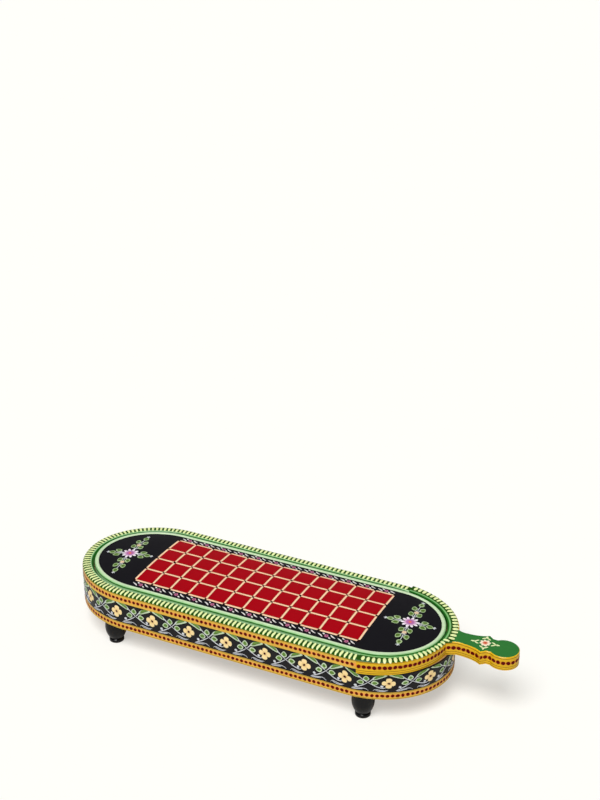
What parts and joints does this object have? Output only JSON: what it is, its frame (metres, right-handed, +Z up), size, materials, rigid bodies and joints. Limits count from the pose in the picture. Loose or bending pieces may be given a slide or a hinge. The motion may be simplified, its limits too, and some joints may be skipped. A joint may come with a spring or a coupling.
{
  "type": "board game box",
  "caption": "Long round-ended wooden game box on four turned feet; its sliding lid with a paddle handle is the playing board.",
  "frame": {"origin": "on the table under the middle of the whole length, handle included", "axes": "+X along the length towards the handle, +Y towards the far long side, +Z up"},
  "size_m": [0.547, 0.1678, 0.0814],
  "materials": {
    "black_wall_lacquer": "glossy lacquer with a painted flower vine",
    "black_foot_lacquer": "satin lacquer",
    "green_rim_paint": "glossy paint with cream dashes",
    "yellow_base_paint": "glossy paint with dark red dots",
    "plain_wood": "bare planed wood",
    "field_lacquer": "glossy black lacquer with a red painted grid",
    "mint_bead_paint": "glossy paint",
    "yellow_pull_paint": "glossy paint with dark red dots and a green top",
    "peg_wood": "bare wood",
    "yellow_counter_lacquer": "glossy lacquer",
    "green_counter_lacquer": "glossy lacquer",
    "stick_ivory_paint": "satin paint"
  },
  "bodies": {
    "case": {"channel_rail_far": "green_rim_paint", "channel_rail_left": "green_rim_paint", "channel_rail_near": "green_rim_paint", "counter_green_01": "green_counter_lacquer", "counter_green_02": "green_counter_lacquer", "counter_green_03": "green_counter_lacquer", "counter_green_04": "green_counter_lacquer", "counter_green_05": "green_counter_lacquer", "counter_green_06": "green_counter_lacquer", "counter_green_07": "green_counter_lacquer", "counter_green_08": "green_counter_lacquer", "counter_green_09": "green_counter_lacquer", "counter_green_10": "green_counter_lacquer", "counter_green_11": "green_counter_lacquer", "counter_green_12": "green_counter_lacquer", "counter_yellow_01": "yellow_counter_lacquer", "counter_yellow_02": "yellow_counter_lacquer", "counter_yellow_03": "yellow_counter_lacquer", "counter_yellow_04": "yellow_counter_lacquer", "counter_yellow_05": "yellow_counter_lacquer", "counter_yellow_06": "yellow_counter_lacquer", "counter_yellow_07": "yellow_counter_lacquer", "counter_yellow_08": "yellow_counter_lacquer", "counter_yellow_09": "yellow_counter_lacquer", "counter_yellow_10": "yellow_counter_lacquer", "counter_yellow_11": "yellow_counter_lacquer", "counter_yellow_12": "yellow_counter_lacquer", "divider_left": "plain_wood", "divider_right": "plain_wood", "floor_board": "yellow_base_paint", "foot_far_left": "black_foot_lacquer", "foot_far_right": "black_foot_lacquer", "foot_near_left": "black_foot_lacquer", "foot_near_right": "black_foot_lacquer", "rim_far": "green_rim_paint", "rim_left": "green_rim_paint", "rim_near": "green_rim_paint", "throwing_stick_1": "stick_ivory_paint", "throwing_stick_2": "stick_ivory_paint", "throwing_stick_3": "stick_ivory_paint", "throwing_stick_4": "stick_ivory_paint", "wall_end_left": "black_wall_lacquer", "wall_end_right": "black_wall_lacquer", "wall_far": "black_wall_lacquer", "wall_near": "black_wall_lacquer"},
    "lid": {"bead_far": "mint_bead_paint", "bead_left": "mint_bead_paint", "bead_near": "mint_bead_paint", "bead_right": "mint_bead_paint", "lid_board": "plain_wood", "lid_pegs": "peg_wood", "playing_panel": "field_lacquer", "pull_board": "yellow_pull_paint"}
  },
  "joints": [
    {"name": "lid_slide", "type": "slide", "parent": "case", "child": "lid", "axis": [1, 0, 0], "range_m": [0, 0.336]}
  ]
}
